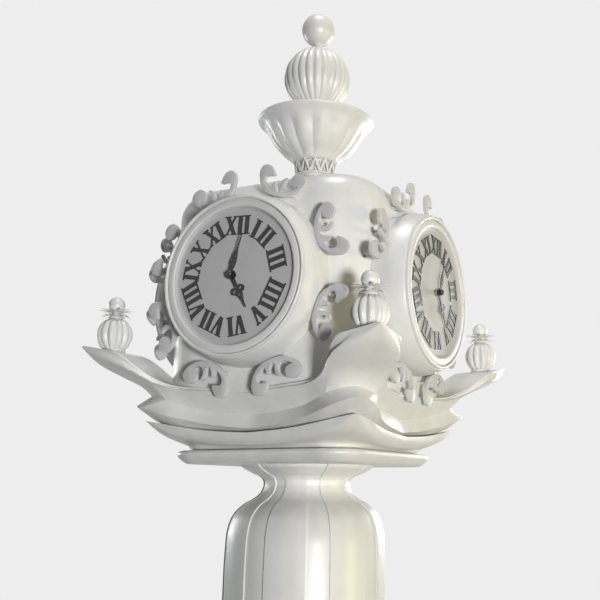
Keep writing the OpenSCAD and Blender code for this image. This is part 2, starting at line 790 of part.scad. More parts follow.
module box_knuckles() {
    for (z = [-hinge_dz, hinge_dz], e = [-1, 1]) translate([hinge_x, hinge_y, hole_z + z + e * knuckle_h])
        difference() {
            union() {
                cylinder(h = knuckle_h - 1, r = knuckle_r, center = true, $fn = 48);
                translate([-knuckle_r, 0, -(knuckle_h - 1) / 2]) cube([knuckle_r, knuckle_r + 2, knuckle_h - 1]);
            }
            cylinder(h = knuckle_h, r = hinge_pin_r, center = true, $fn = 48);
        }
}

module base_plinth() {
    inner = box_half - box_wall;
    color(cast_white) difference() {
        union() {
            translate([-flange_half, -flange_half, 0]) cube([2 * flange_half, 2 * flange_half, flange_t]);
            translate([-box_half, -box_half, 0]) cube([2 * box_half, 2 * box_half, plinth_height]);
            translate([-foot_half, -foot_half, 0]) cube([2 * foot_half, 2 * foot_half, foot_h]);
            translate([-cap_half, -cap_half, plinth_height - cap_t]) cube([2 * cap_half, 2 * cap_half, cap_t - 20]);
            translate([-foot_half, -foot_half, plinth_height - cap_t - 30])
                cube([2 * foot_half, 2 * foot_half, cap_t + 30]);
            box_knuckles();
        }
        translate([-inner, -inner, flange_t]) cube([2 * inner, 2 * inner, plinth_height - flange_t - 20]);
        translate([0, 0, plinth_height - 30]) cylinder(h = 40, r = pillar_bore_r, $fn = 128);
        translate([0, 0, -1]) cylinder(h = flange_t + 2, r = entry_r, $fn = 96);
        for (x = [-1, 1], y = [-1, 1]) translate([x * anchor_half, y * anchor_half, -1])
            cylinder(h = flange_t + 2, r = anchor_r, $fn = 48);
        translate([-hole_w / 2, -box_half - 1, hole_z - hole_h / 2]) cube([hole_w, box_wall + 2, hole_h]);
    }
}

lock_x = hole_w / 2 - 25;
lock_r = 9;

module access_door() {
    back = -box_half - door_gap;
    color(cast_white) difference() {
        union() {
            translate([-door_w / 2, back - door_t, hole_z - door_h / 2]) cube([door_w, door_t, door_h]);
            translate([-door_w / 2 + 30, back - door_t - 5, hole_z - door_h / 2 + 30])
                cube([door_w - 60, 6, door_h - 60]);
            for (z = [-hinge_dz, hinge_dz]) translate([hinge_x, hinge_y, hole_z + z]) {
                cylinder(h = knuckle_h - 1, r = knuckle_r, center = true, $fn = 48);
                translate([0, -4, -(knuckle_h - 1) / 2]) cube([knuckle_r + 6, 8, knuckle_h - 1]);
            }
        }
        for (z = [-hinge_dz, hinge_dz]) translate([hinge_x, hinge_y, hole_z + z])
            cylinder(h = knuckle_h, r = hinge_pin_r + run_fit, center = true, $fn = 48);
        translate([lock_x, -box_half + 1, hole_z]) rotate([90, 0, 0])
            cylinder(h = 30, r = lock_r + run_fit, $fn = 64);
    }
}

module hinge_pins() {
    color(steel) for (z = [-hinge_dz, hinge_dz]) translate([hinge_x, hinge_y, hole_z + z]) {
        cylinder(h = 3 * knuckle_h - 1, r = hinge_pin_r - 0.01, center = true, $fn = 48);
        translate([0, 0, 1.5 * knuckle_h - 0.5]) cylinder(h = 4, r = knuckle_r - 1, $fn = 48);
    }
}

module door_lock() {
    back = -box_half - door_gap;
    nose = back - door_t - 5;
    cam_y = -box_half + box_wall + 1;
    color(steel) difference() {
        union() {
            translate([lock_x, cam_y + 4, hole_z]) rotate([90, 0, 0])
                cylinder(h = cam_y + 4 - nose, r = lock_r, $fn = 64);
            translate([lock_x, nose, hole_z]) rotate([90, 0, 0]) cylinder(h = 5, r = lock_r + 4, $fn = 64);
            translate([lock_x - 7, cam_y, hole_z]) cube([14, 4, 45]);
        }
        translate([lock_x - 4, nose - 6, hole_z - 4]) cube([8, 8, 8]);
    }
}

// ---- crown: heights are measured from the dial centres
crown_rod_r = 12;
pedestal_top = case_rise + pedestal_h;
leaf_ring_r = 74;
leaf_h = 50;
leaf_count = 12;
bowl_foot_r = 70;
rim_top = pedestal_top + bowl_h;
ball_z = rim_top + ball_over_rim;
stem_r = 38;
neck_flat_r = 30;
top_ball_z = ball_z + ball_step;
top_foot_r = 18;
stem_top = ball_z - sqrt(crown_ball_r * crown_ball_r - stem_r * stem_r);
ball_top = ball_z + sqrt(crown_ball_r * crown_ball_r - neck_flat_r * neck_flat_r);
rod_top = top_ball_z - 20;

module leaf_gap() {
    polygon([[-10, 8], [-13, 22], [-9, 32], [0, 42], [9, 32], [13, 22], [10, 8]]);
}

module crown_collar() {
    foot_r = 1.5 * leaf_ring_r;
    waist_r = leaf_ring_r - 16;
    leaf_foot = pedestal_top - leaf_h;
    rod_hole = crown_rod_r + pass_fit;
    color(cast_white) translate([0, 0, dial_height]) difference() {
        rotate_extrude($fn = 128) polygon(concat(
            [[rod_hole, case_rise], [foot_r, case_rise], [foot_r, case_rise + 10]],
            bezier([
                [foot_r - 4, case_rise + 14],
                [waist_r + 12, case_rise + 20],
                [waist_r + 2, case_rise + 50],
                [waist_r, leaf_foot - 8]], 10),
            [[leaf_ring_r, leaf_foot],
            [leaf_ring_r, pedestal_top - 4],
            [leaf_ring_r - 6, pedestal_top - 4],
            [leaf_ring_r - 6, leaf_foot + 3],
            [waist_r - 4, leaf_foot + 3],
            [waist_r - 4, pedestal_top],
            [rod_hole, pedestal_top]]));
        for (k = [0:leaf_count - 1]) rotate([0, 0, 360 * k / leaf_count])
            translate([0, 0, leaf_foot]) rotate([90, 0, 0])
                translate([0, 0, leaf_ring_r - 14]) linear_extrude(20) leaf_gap();
    }
}

// The bowl's profile: radius by its rim's, height by its own, share of the flute depth
bowl_line = [
    [0.38, 0.044, 0.3], [0.471, 0.138, 1], [0.657, 0.35, 1], [0.786, 0.6, 1], [0.848, 0.725, 0.6],
    [0.933, 0.85, 0.2], [1, 0.95, 0], [0.99, 1, 0], [0.962, 1, 0], [0.886, 0.875, 0.2], [0.781, 0.725, 0.6],
    [0.667, 0.5, 1], [0.5, 0.275, 1]];

module crown_bowl() {
    low = pedestal_top;
    bore = crown_rod_r + 1;
    color(cast_white) translate([0, 0, dial_height]) fluted_ring(concat(
        [[bore, low, 0], [bowl_foot_r, low, 0]],
        [for (p = bowl_line) [bowl_r * p[0], low + bowl_h * p[1], p[2]]],
        [[stem_r, low + bowl_h * 0.21, 0], [stem_r, stem_top, 0], [bore, stem_top, 0]]),
        14, 0.06);
}

module crown_ribbed_ball() {
    color(cast_white) translate([0, 0, dial_height + ball_z])
        fluted_ring(ball_profile(crown_ball_r, crown_rod_r + 1, stem_r, neck_flat_r, 11), 24, 0.055);
}

module crown_top_ball() {
    color(cast_white) translate([0, 0, dial_height]) difference() {
        union() {
            translate([0, 0, top_ball_z]) sphere(r = top_ball_r, $fn = 96);
            rotate_extrude($fn = 96) polygon(concat(
                [[0, ball_top], [neck_flat_r - 2, ball_top], [neck_flat_r - 2, ball_top + 5]],
                [[top_foot_r, ball_top + 10], [top_foot_r, top_ball_z - top_ball_r + 6], [0, top_ball_z]]));
        }
        translate([0, 0, ball_top - 1]) cylinder(h = rod_top - ball_top + 2, r = crown_rod_r + pass_fit, $fn = 48);
    }
}

// ---- corner finials
ball_foot_r = 34;
knob_foot_r = 20;
corner_ball_z = finial_seat + sqrt(corner_ball_r * corner_ball_r - ball_foot_r * ball_foot_r);
knob_seat = corner_ball_z + sqrt(corner_ball_r * corner_ball_r - knob_foot_r * knob_foot_r);
knob_z = knob_seat + 45;
corner_rod_top = knob_z - 8;

module at_corners() {
    translate([0, 0, dial_height]) at_head_corners() children();
}

module corner_balls() {
    color(cast_white) at_corners() translate([0, 0, corner_ball_z])
        fluted_ring(ball_profile(corner_ball_r, corner_rod_r + 0.5, ball_foot_r, knob_foot_r, 7), 12, 0.14);
}

module corner_knobs() {
    leaf = corner_ball_r;
    s = knob_seat;
    color(cast_white) at_corners() difference() {
        union() {
            fluted_ring([
                [corner_rod_r + 0.5, s, 0], [knob_foot_r, s, 0], [leaf - 12, s + 3, 1],
                [leaf - 5, s + 8, 1], [leaf - 22, s + 18, 0.4], [leaf - 8, s + 22, 1],
                [leaf, s + 29, 1], [leaf - 14, s + 30, 0.7], [14, s + 24, 0], [corner_rod_r + 0.5, s + 24, 0]],
                8, 0.4);
            translate([0, 0, knob_z]) sphere(r = knob_r, $fn = 64);
        }
        translate([0, 0, knob_seat - 1])
            cylinder(h = corner_rod_top - knob_seat + 2, r = corner_rod_r + pass_fit, $fn = 32);
    }
}

module tie_rods() {
    under_lid = case_rise - case_wall;
    color(steel) {
        at_corners() translate([0, 0, corner_rod_foot])
            cylinder(h = corner_rod_top - corner_rod_foot, r = corner_rod_r, $fn = 32);
        translate([0, 0, dial_height]) {
            translate([0, 0, under_lid - 20]) cylinder(h = rod_top - under_lid + 20, r = crown_rod_r, $fn = 48);
            translate([0, 0, under_lid - 12]) cylinder(h = 12, r = 2 * crown_rod_r, $fn = 6);
        }
    }
}

base_plinth();
access_door();
hinge_pins();
door_lock();
column();
head_plate();
lower_tier();
upper_tier();
case();
drum(0);  // drum_front
drum(1);  // drum_right
drum(2);  // drum_back
drum(3);  // drum_left
bezel(0);  // bezel_front
bezel(1);  // bezel_right
bezel(2);  // bezel_back
bezel(3);  // bezel_left
dial(0);  // dial_front
dial(1);  // dial_right
dial(2);  // dial_back
dial(3);  // dial_left
numerals(0);  // numerals_front
numerals(1);  // numerals_right
numerals(2);  // numerals_back
numerals(3);  // numerals_left
scrolls(0);  // scrolls_front
scrolls(1);  // scrolls_right
scrolls(2);  // scrolls_back
scrolls(3);  // scrolls_left
movement(0);  // movement_front
movement(1);  // movement_right
movement(2);  // movement_back
movement(3);  // movement_left
minute_arbor(0);  // minute_arbor_front
minute_arbor(1);  // minute_arbor_right
minute_arbor(2);  // minute_arbor_back
minute_arbor(3);  // minute_arbor_left
motion_wheel(0);  // motion_wheel_front
motion_wheel(1);  // motion_wheel_right
motion_wheel(2);  // motion_wheel_back
motion_wheel(3);  // motion_wheel_left
hour_wheel(0);  // hour_wheel_front
hour_wheel(1);  // hour_wheel_right
hour_wheel(2);  // hour_wheel_back
hour_wheel(3);  // hour_wheel_left
hour_hand(0);  // hour_hand_front
hour_hand(1);  // hour_hand_right
hour_hand(2);  // hour_hand_back
hour_hand(3);  // hour_hand_left
minute_hand(0);  // minute_hand_front
minute_hand(1);  // minute_hand_right
minute_hand(2);  // minute_hand_back
minute_hand(3);  // minute_hand_left
crown_collar();
crown_bowl();
crown_ribbed_ball();
crown_top_ball();
corner_balls();
corner_knobs();
tie_rods();
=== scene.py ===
"""Looks for the four-dial street clock: its castings, paint, dials and studio.

Metres, +Z up, and the front dial faces -Y. Pieces are drawn in millimetres about the middle of the head.
"""
import math

import bmesh
import bpy
from mathutils import Matrix, Vector
from mathutils.bvhtree import BVHTree


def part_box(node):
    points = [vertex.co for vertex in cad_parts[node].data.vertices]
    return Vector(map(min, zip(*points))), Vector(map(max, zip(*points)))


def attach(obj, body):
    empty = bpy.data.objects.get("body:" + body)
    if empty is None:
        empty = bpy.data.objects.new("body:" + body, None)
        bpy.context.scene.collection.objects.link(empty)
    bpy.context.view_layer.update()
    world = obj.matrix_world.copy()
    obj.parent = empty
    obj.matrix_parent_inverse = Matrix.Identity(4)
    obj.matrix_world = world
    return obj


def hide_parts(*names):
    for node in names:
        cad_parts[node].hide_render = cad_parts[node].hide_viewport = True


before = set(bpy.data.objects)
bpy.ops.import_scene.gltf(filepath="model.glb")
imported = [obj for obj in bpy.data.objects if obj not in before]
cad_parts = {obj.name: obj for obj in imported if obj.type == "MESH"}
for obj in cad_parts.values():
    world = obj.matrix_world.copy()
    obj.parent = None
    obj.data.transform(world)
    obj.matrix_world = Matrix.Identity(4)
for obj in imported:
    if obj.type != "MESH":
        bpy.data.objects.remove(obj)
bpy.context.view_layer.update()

SIDES = ("front", "right", "back", "left")

# ---- the camera, as the photograph sees the clock
CAMERA_PLACE = Vector((1.5733, -2.6762, 2.2581))
CAMERA_HEADING = math.radians(-24.70)
CAMERA_PITCH = math.radians(12.04)
CAMERA_ROLL = math.radians(0.25)
CAMERA_LENS = 53.82
CAMERA_SENSOR = 36.0
CAMERA_SHIFT_X = -0.1667
CAMERA_SHIFT_Y = 0.0
IMAGE_W = 600
IMAGE_H = 600

# ---- features of the photograph, in its pixels
POINTS = {
    "top_ball": (318.4, 30.4),
    "crown_ball": (317.4, 78.0),
    "lip_left": (82.1, 345.9),
    "lip_right": (505.1, 369.0),
    "lip_near": (379.4, 320.7),
    "front_pivot": (231.0, 274.8),
    "right_pivot": (438.2, 292.2),
    "near_ball": (368.6, 312.9),
    "left_ball": (114.0, 336.7),
    "right_ball": (480.0, 356.9),
    "pillar_left": (224.3, 600.0),
    "pillar_right": (385.9, 600.0),
    "neck_left": (265.0, 486.0),
    "neck_right": (351.6, 486.0),
    "plate_left": (179.7, 455.7),
}

# ---- the frame's own places
DIAL_Z = (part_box("dial_front")[0][2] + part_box("dial_front")[1][2]) / 2
MILLIMETRES = Matrix.Translation((0, 0, DIAL_Z)) @ Matrix.Scale(0.001, 4)


def above_dials(node, end):
    """The height of a node's lower (0) or upper (1) end over the dial centres, in millimetres."""
    return (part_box(node)[end][2] - DIAL_Z) * 1000


CASE_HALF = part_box("case")[1][0] * 1000
LIP_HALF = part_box("upper_tier")[1][0] * 1000
PILLAR_TOP = above_dials("column", 1)
PILLAR_FOOT = above_dials("column", 0)
PLATE_FOOT = above_dials("head_plate", 0)
TIER_FOOT = above_dials("lower_tier", 0)
TIER_SEAT = above_dials("upper_tier", 0)
CASE_TOP = above_dials("case", 1)
CASE_FOOT = above_dials("case", 0)
BOWL_FOOT = above_dials("crown_bowl", 0)
BALL_FOOT = above_dials("crown_ribbed_ball", 0)
FINIAL_SEAT = above_dials("corner_balls", 0)
KNOB_SEAT = above_dials("corner_balls", 1)
FINIAL_XY = 461


# ---- shared ways of making pieces
def smooth_line(places, steps):
    """A smooth curve through the places, with this many steps between two of them."""
    last = len(places) - 1
    line = []
    for i in range(last):
        a, b, c, d = (Vector(places[k]) for k in (max(i - 1, 0), i, i + 1, min(i + 2, last)))
        for k in range(steps):
            t = k / steps
            line.append(0.5 * (2 * b + (c - a) * t + (2 * a - 5 * b + 4 * c - d) * t ** 2
                               + (3 * b - a - 3 * c + d) * t ** 3))
    return line + [Vector(places[last])]


def smooth_loop(places, steps):
    """The same, closed."""
    n = len(places)
    line = smooth_line([places[(i - 1) % n] for i in range(n + 3)], steps)
    return line[steps:-2 * steps]


def bezier(p, steps):
    return [(1 - t) ** 3 * Vector(p[0]) + 3 * (1 - t) ** 2 * t * Vector(p[1])
            + 3 * (1 - t) * t ** 2 * Vector(p[2]) + t ** 3 * Vector(p[3])
            for t in (k / steps for k in range(steps + 1))]


def turned_place(angle, radius, height):
    return Vector((radius * math.cos(angle), radius * math.sin(angle), height))


def skin(bm, rows):
    """A grid laid over rows of places, all of one length."""
    made = bmesh.ops.create_grid(bm, x_segments=len(rows[0]) - 1, y_segments=len(rows) - 1, size=1)["verts"]
    made.sort(key=lambda v: (round(v.co.y * 1e4), v.co.x))
    for vert, place in zip(made, (place for row in rows for place in row)):
        vert.co = place
    return made


def turned(bm, profile, segments):
    """A full turn about Z of a line of (radius, height) places."""
    verts = [bm.verts.new((r, 0, z)) for r, z in profile]
    edges = [bm.edges.new(pair) for pair in zip(verts, verts[1:])]
    bmesh.ops.spin(bm, geom=verts + edges, cent=(0, 0, 0), axis=(0, 0, 1), angle=2 * math.pi,
                   steps=segments, use_merge=True)


def tube(bm, path, half_widths, half_thick, upward, sides=8):
    """A blade or stem along a path, flattened across the upward direction, closed to its ends."""
    rows = []
    for k, place in enumerate(path):
        along = (path[min(k + 1, len(path) - 1)] - path[max(k - 1, 0)]).normalized()
        across = along.cross(upward).normalized()
        over = across.cross(along)
        rows.append([place + across * half_widths[k] * math.cos(a) + over * half_thick * math.sin(a)
                     * min(1, half_widths[k] / half_thick)
                     for a in (2 * math.pi * i / sides for i in range(sides + 1))])
    rows = [[path[0]] * (sides + 1)] + rows + [[path[-1]] * (sides + 1)]
    skin(bm, rows)


def finish_piece(bm, name, nodes, slot, crisp=32, body="frame"):
    """Makes the object, in metres, with crisp edges where faces meet at more than this many degrees."""
    bmesh.ops.remove_doubles(bm, verts=bm.verts, dist=0.01)
    bmesh.ops.dissolve_degenerate(bm, edges=bm.edges, dist=0.005)
    bmesh.ops.transform(bm, matrix=MILLIMETRES, verts=bm.verts)
    bmesh.ops.recalc_face_normals(bm, faces=bm.faces)
    for face in bm.faces:
        face.smooth = True
    for edge in bm.edges:
        if len(edge.link_faces) == 2 and edge.calc_face_angle(0) > math.radians(crisp):
            edge.smooth = False
    mesh = bpy.data.meshes.new(name)
    bm.to_mesh(mesh)
    bm.free()
    piece = bpy.data.objects.new(name, mesh)
    bpy.context.scene.collection.objects.link(piece)
    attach(piece, body)
    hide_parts(*nodes)
    piece.data.materials.append(MATERIALS[slot])
    return piece


def quarter_turns(bm, count=3):
    """Repeats all the geometry at this many further quarter turns about Z."""
    bmesh.ops.spin(bm, geom=bm.verts[:] + bm.edges[:] + bm.faces[:], cent=(0, 0, 0), axis=(0, 0, 1),
                   angle=math.pi / 2 * count, steps=count, use_duplicate=True)


def octants(bm):
    """Repeats an eighth of a square piece, from its middle edge to its diagonal, all the way round."""
    copy = bmesh.ops.duplicate(bm, geom=bm.verts[:] + bm.edges[:] + bm.faces[:])["geom"]
    swap = Matrix(((0, 1, 0, 0), (1, 0, 0, 0), (0, 0, 1, 0), (0, 0, 0, 1)))
    bmesh.ops.transform(bm, matrix=swap, verts=[e for e in copy if isinstance(e, bmesh.types.BMVert)])
    bmesh.ops.reverse_faces(bm, faces=[e for e in copy if isinstance(e, bmesh.types.BMFace)])
    quarter_turns(bm)
    bmesh.ops.remove_doubles(bm, verts=bm.verts, dist=0.02)


def rim_edges(bm, low, high):
    """The open edges between two heights."""
    return [e for e in bm.edges if e.is_boundary and all(low < v.co.z < high for v in e.verts)]


# ---- finishes: Object coordinates in metres
def finish(name, colour, dark, mottle, grain, rough, rough_spread, metallic, bump, streaks=0.0, gloss=0.6):
    """A finish whose colour runs from dark to colour in patches, with a fine grain in its surface."""
    made = bpy.data.materials.new(name)
    made.use_nodes = True
    tree = made.node_tree
    shader = tree.nodes["Principled BSDF"]
    shader.inputs["Metallic"].default_value = metallic
    shader.inputs["Specular IOR Level"].default_value = gloss
    coords = tree.nodes.new("ShaderNodeTexCoord")

    patches = tree.nodes.new("ShaderNodeTexNoise")
    patches.inputs["Scale"].default_value = mottle
    patches.inputs["Detail"].default_value = 6
    patches.inputs["Roughness"].default_value = 0.6
    tree.links.new(coords.outputs["Object"], patches.inputs["Vector"])

    runs_place = tree.nodes.new("ShaderNodeMapping")
    runs_place.inputs["Scale"].default_value = (24, 24, 1.4)
    runs = tree.nodes.new("ShaderNodeTexNoise")
    runs.inputs["Scale"].default_value = 1.0
    runs.inputs["Detail"].default_value = 4
    tree.links.new(coords.outputs["Object"], runs_place.inputs["Vector"])
    tree.links.new(runs_place.outputs["Vector"], runs.inputs["Vector"])

    both = tree.nodes.new("ShaderNodeMix")
    both.data_type = "FLOAT"
    both.inputs["Factor"].default_value = streaks
    tree.links.new(patches.outputs["Fac"], both.inputs["A"])
    tree.links.new(runs.outputs["Fac"], both.inputs["B"])

    tones = tree.nodes.new("ShaderNodeValToRGB")
    tones.color_ramp.elements[0].position = 0.3
    tones.color_ramp.elements[0].color = (*dark, 1)
    tones.color_ramp.elements[1].position = 0.62
    tones.color_ramp.elements[1].color = (*colour, 1)
    tree.links.new(both.outputs["Result"], tones.inputs["Fac"])
    tree.links.new(tones.outputs["Color"], shader.inputs["Base Color"])

    fine = tree.nodes.new("ShaderNodeTexNoise")
    fine.inputs["Scale"].default_value = grain
    fine.inputs["Detail"].default_value = 3
    tree.links.new(coords.outputs["Object"], fine.inputs["Vector"])

    sheen = tree.nodes.new("ShaderNodeMapRange")
    sheen.inputs["From Min"].default_value = 0.3
    sheen.inputs["From Max"].default_value = 0.7
    sheen.inputs["To Min"].default_value = rough - rough_spread
    sheen.inputs["To Max"].default_value = rough + rough_spread
    tree.links.new(patches.outputs["Fac"], sheen.inputs["Value"])
    tree.links.new(sheen.outputs["Result"], shader.inputs["Roughness"])

    relief = tree.nodes.new("ShaderNodeBump")
    relief.inputs["Strength"].default_value = 0.35
    relief.inputs["Distance"].default_value = bump
    tree.links.new(fine.outputs["Fac"], relief.inputs["Height"])
    tree.links.new(relief.outputs["Normal"], shader.inputs["Normal"])
    return made


MATERIALS = {
    "cast_white": finish("painted_casting", (0.74, 0.74, 0.728), (0.655, 0.655, 0.64),
                         7, 420, 0.37, 0.05, 0.0, 0.0004, streaks=0.5),
    "scroll_grey": finish("painted_scrollwork", (0.60, 0.60, 0.605), (0.53, 0.53, 0.54),
                          11, 500, 0.5, 0.06, 0.0, 0.0004, streaks=0.3),
    "dial_grey": finish("dial_enamel", (0.52, 0.52, 0.52), (0.475, 0.475, 0.48),
                        9, 700, 0.55, 0.06, 0.0, 0.0002, streaks=0.2),
    "black_enamel": finish("black_enamel", (0.012, 0.012, 0.012), (0.004, 0.004, 0.004),
                           22, 600, 0.4, 0.08, 0.0, 0.0002),
    "steel": finish("bright_steel", (0.58, 0.59, 0.6), (0.4, 0.41, 0.42), 60, 900, 0.34, 0.08, 0.95, 0.0001),
    "gear_brass": finish("gear_brass", (0.72, 0.52, 0.2), (0.5, 0.34, 0.12),
                         60, 900, 0.32, 0.08, 0.95, 0.0001),
}

for name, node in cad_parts.items():
    for place in node.material_slots:
        kind = place.material.name.split(".")[0]
        place.material = MATERIALS[kind] if kind in MATERIALS else MATERIALS["cast_white"]

# ---- cast tiers: how far each row swings out, and climbs, from its middle to its corner
SWING = (
    (0, 0), (0.44, 0.08), (0.545, 0.23), (0.58, 0.36), (0.63, 0.6), (0.66, 0.74), (0.68, 0.85),
    (0.72, 1), (1, 1))
SOFT_SWING = ((0, 0), (0.29, 0.2), (0.44, 0.33), (0.53, 0.47), (0.625, 0.75), (0.72, 1), (1, 1))
CLIMB = (
    (0, 0), (0.44, 0.12), (0.545, 0.2), (0.58, 0.29), (0.63, 0.44), (0.66, 0.55), (0.68, 0.68),
    (0.705, 0.8), (1, 1))
SOFT_CLIMB = (
    (0, 0), (0.29, 0.14), (0.44, 0.26), (0.53, 0.37), (0.625, 0.49), (0.72, 0.61), (0.79, 0.73),
    (0.86, 0.84), (1, 1))
FLAT_SHARE = 0.72
STATIONS = 44
EASE = 0.022
RIM_HALF = CASE_HALF + 5
RIM_Z = CASE_FOOT + 9
LIP_RISE = 150
TIP_Z = RIM_Z + LIP_RISE
CASE_CORNER = 185
SET_GAP = 0.3
WELL_HALF = 300
WELL_CORNER = 80


def share(t, table):
    for (t0, v0), (t1, v1) in zip(table, table[1:]):
        if t <= t1:
            return v0 + (v1 - v0) * (t - t0) / (t1 - t0)
    return table[-1][1]


def eased(t, table):
    return sum(share(min(1, abs(t + k * EASE)), table) for k in (-2, -1, 0, 1, 2)) / 5


def eighth(mid, half, corner, z_mid, z_corner, soft):
    """Half of one side of a row, from its middle to its diagonal."""
    start = half - corner
    span = min(half, start / FLAT_SHARE)
    turn = max(FLAT_SHARE, start / half)

    def blend(t, sharp_table, soft_table):
        return eased(t, sharp_table) * (1 - soft) + eased(t, soft_table) * soft

    row = []
    for k in range(STATIONS):
        t = start / span * k / STATIONS
        row.append(Vector((t * span, mid + (half - mid) * blend(t, SWING, SOFT_SWING),
                           z_mid + (z_corner - z_mid) * blend(t, CLIMB, SOFT_CLIMB))))
    for a in (math.radians(45) * k / 6 for k in range(7)):
        t = turn + (1 - turn) * math.sin(a)
        row.append(Vector((start + corner * math.sin(a), start + corner * math.cos(a),
                           z_mid + (z_corner - z_mid) * blend(t, CLIMB, SOFT_CLIMB))))
    return row


def level(half, corner, z):
    return eighth(half, half, corner, z, z, 0)


def between(rows, steps):
    """Rows smoothly filled in between the given ones."""
    lines = [smooth_line([row[i] for row in rows], steps) for i in range(len(rows[0]))]
    return [list(row) for row in zip(*lines)]


def case_outline(x):
    """How far out the case's wall lies, or past it the diagonal, at this distance along the side."""
    flat = CASE_HALF - CASE_CORNER
    reach = CASE_CORNER + SET_GAP
    if x <= flat:
        return flat + reach
    return max(x, flat + math.sqrt(max(0, reach ** 2 - (x - flat) ** 2)))


def make_upper_tier():
    bm = bmesh.new()
    lip = eighth(RIM_HALF, LIP_HALF, 6, RIM_Z - 5, TIP_Z - 5, 0)
    waist = eighth(CASE_HALF - 36, LIP_HALF - 131, 112, 61 + TIER_SEAT, 141 + TIER_SEAT, 0.8)
    edge = eighth(CASE_HALF - 25, LIP_HALF - 115, 49, 19 + TIER_SEAT, 101 + TIER_SEAT, 1)
    under = eighth(CASE_HALF - 41, LIP_HALF - 142, 80, 14 + TIER_SEAT, 66 + TIER_SEAT, 1)
    sweep = between([
        lip,
        eighth(RIM_HALF, LIP_HALF - 6, 96, RIM_Z - 7, TIP_Z - 41, 0.15),
        eighth(RIM_HALF + 1, LIP_HALF - 56, 109, RIM_Z - 10, TIP_Z - 78, 0.4),
        eighth(RIM_HALF + 2, LIP_HALF - 97, 115, RIM_Z - 15, TIP_Z - 108, 0.6),
        waist], 4)
    for place in (p for row in sweep for p in row):
        place.x = min(place.x, LIP_HALF)
        place.y = min(place.y, LIP_HALF)
    top = [Vector((p.x, p.y, p.z + 5)) for p in lip]
    inner = [Vector((p.x, max(case_outline(p.x), p.x) if p.x < p.y else p.y, p.z)) for p in top]
    skin(bm, [inner] + between([top, lip], 1) + sweep[1:] + between([waist, edge], 3)[1:] + [under]
         + [level(WELL_HALF, WELL_CORNER, TIER_SEAT)])
    octants(bm)
    well = rim_edges(bm, CASE_FOOT, 0)
    walls = bmesh.ops.extrude_edge_only(bm, edges=well)["geom"]
    for vert in (e for e in walls if isinstance(e, bmesh.types.BMVert)):
        vert.co.z = CASE_FOOT
    well_foot = [e for e in walls if isinstance(e, bmesh.types.BMEdge) and e.is_boundary]
    bmesh.ops.contextual_create(bm, geom=well_foot)
    bmesh.ops.contextual_create(bm, geom=rim_edges(bm, TIER_SEAT - 1, TIER_SEAT + 1))
    pads = bmesh.new()
    turned(pads, [(0, FINIAL_SEAT - 30), (37, FINIAL_SEAT - 30), (37, FINIAL_SEAT - 3), (34, FINIAL_SEAT),
                  (0, FINIAL_SEAT)], 40)
    at_corners(bm, pads)
    return finish_piece(bm, "upper_tier_casting", ["upper_tier"], "cast_white")


def at_corners(bm, other):
    """Moves the other mesh to each corner finial's place, and adds it to this one."""
    bmesh.ops.translate(other, verts=other.verts, vec=(FINIAL_XY, FINIAL_XY, 0))
    quarter_turns(other)
    passed = bpy.data.meshes.new("passed")
    other.to_mesh(passed)
    other.free()
    bm.from_mesh(passed)
    bpy.data.meshes.remove(passed)


def make_lower_tier():
    bm = bmesh.new()
    edge = eighth(CASE_HALF - 12, CASE_HALF + 4, 15, 6 + TIER_SEAT, 51 + TIER_SEAT, 1)
    sweep = between([
        edge,
        eighth(CASE_HALF - 15, CASE_HALF - 8, 92, 29 + TIER_FOOT, 58 + TIER_FOOT, 1),
        eighth(CASE_HALF - 36, CASE_HALF - 34, 133, 13 + TIER_FOOT, 34 + TIER_FOOT, 1),
        eighth(CASE_HALF - 50, CASE_HALF - 55, 125, 9 + TIER_FOOT, 23 + TIER_FOOT, 1),
        eighth(CASE_HALF - 63, CASE_HALF - 63, 128, 5 + TIER_FOOT, 15 + TIER_FOOT, 1),
        level(WELL_HALF, WELL_CORNER, TIER_FOOT)], 4)
    skin(bm, [level(WELL_HALF + 12, WELL_CORNER, TIER_SEAT)] + sweep)
    octants(bm)
    bmesh.ops.contextual_create(bm, geom=rim_edges(bm, TIER_SEAT - 1, TIER_SEAT + 1))
    bmesh.ops.contextual_create(bm, geom=rim_edges(bm, TIER_FOOT - 1, TIER_FOOT + 1))
    return finish_piece(bm, "lower_tier_casting", ["lower_tier"], "cast_white")


def make_head_plate():
    bm = bmesh.new()
    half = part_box("head_plate")[1][0] * 1000
    corner = 104
    edge = smooth_line([(11, TIER_FOOT, 0), (5, TIER_FOOT - 2, 0), (1, TIER_FOOT - 7, 0),
                        (0, TIER_FOOT - 12, 0), (2, TIER_FOOT - 18, 0), (8, TIER_FOOT - 25, 0),
                        (16, TIER_FOOT - 32, 0), (27, TIER_FOOT - 39, 0), (34, PLATE_FOOT, 0)], 3)
    skin(bm, [level(half - p.x, corner - p.x, p.y) for p in edge])
    octants(bm)
    bmesh.ops.contextual_create(bm, geom=rim_edges(bm, TIER_FOOT - 1, TIER_FOOT + 1))
    bmesh.ops.contextual_create(bm, geom=rim_edges(bm, PLATE_FOOT - 1, PLATE_FOOT + 1))
    return finish_piece(bm, "head_plate_casting", ["head_plate"], "cast_white")


# ---- pillar: radius, and depth below its top, with sunk channels between its eight broad ribs
PILLAR_LINE = (
    (224, 0), (214, 11), (187, 26), (161, 37), (148, 48), (145, 60), (146, 71), (156, 91), (178, 110),
    (208, 127), (234, 151), (251, 180), (261, 221), (264, 268), (266, 329))
SHAFT_R = 266
CHANNEL_DEPTH = 5
CHANNEL_ARC = 16.5
PILLAR_TURN = -6
BASE_RING = ((SHAFT_R - 8, 0), (SHAFT_R + 14, 0), (SHAFT_R + 14, 22), (SHAFT_R + 10, 31), (SHAFT_R + 1, 36),
             (SHAFT_R - 8, 36))


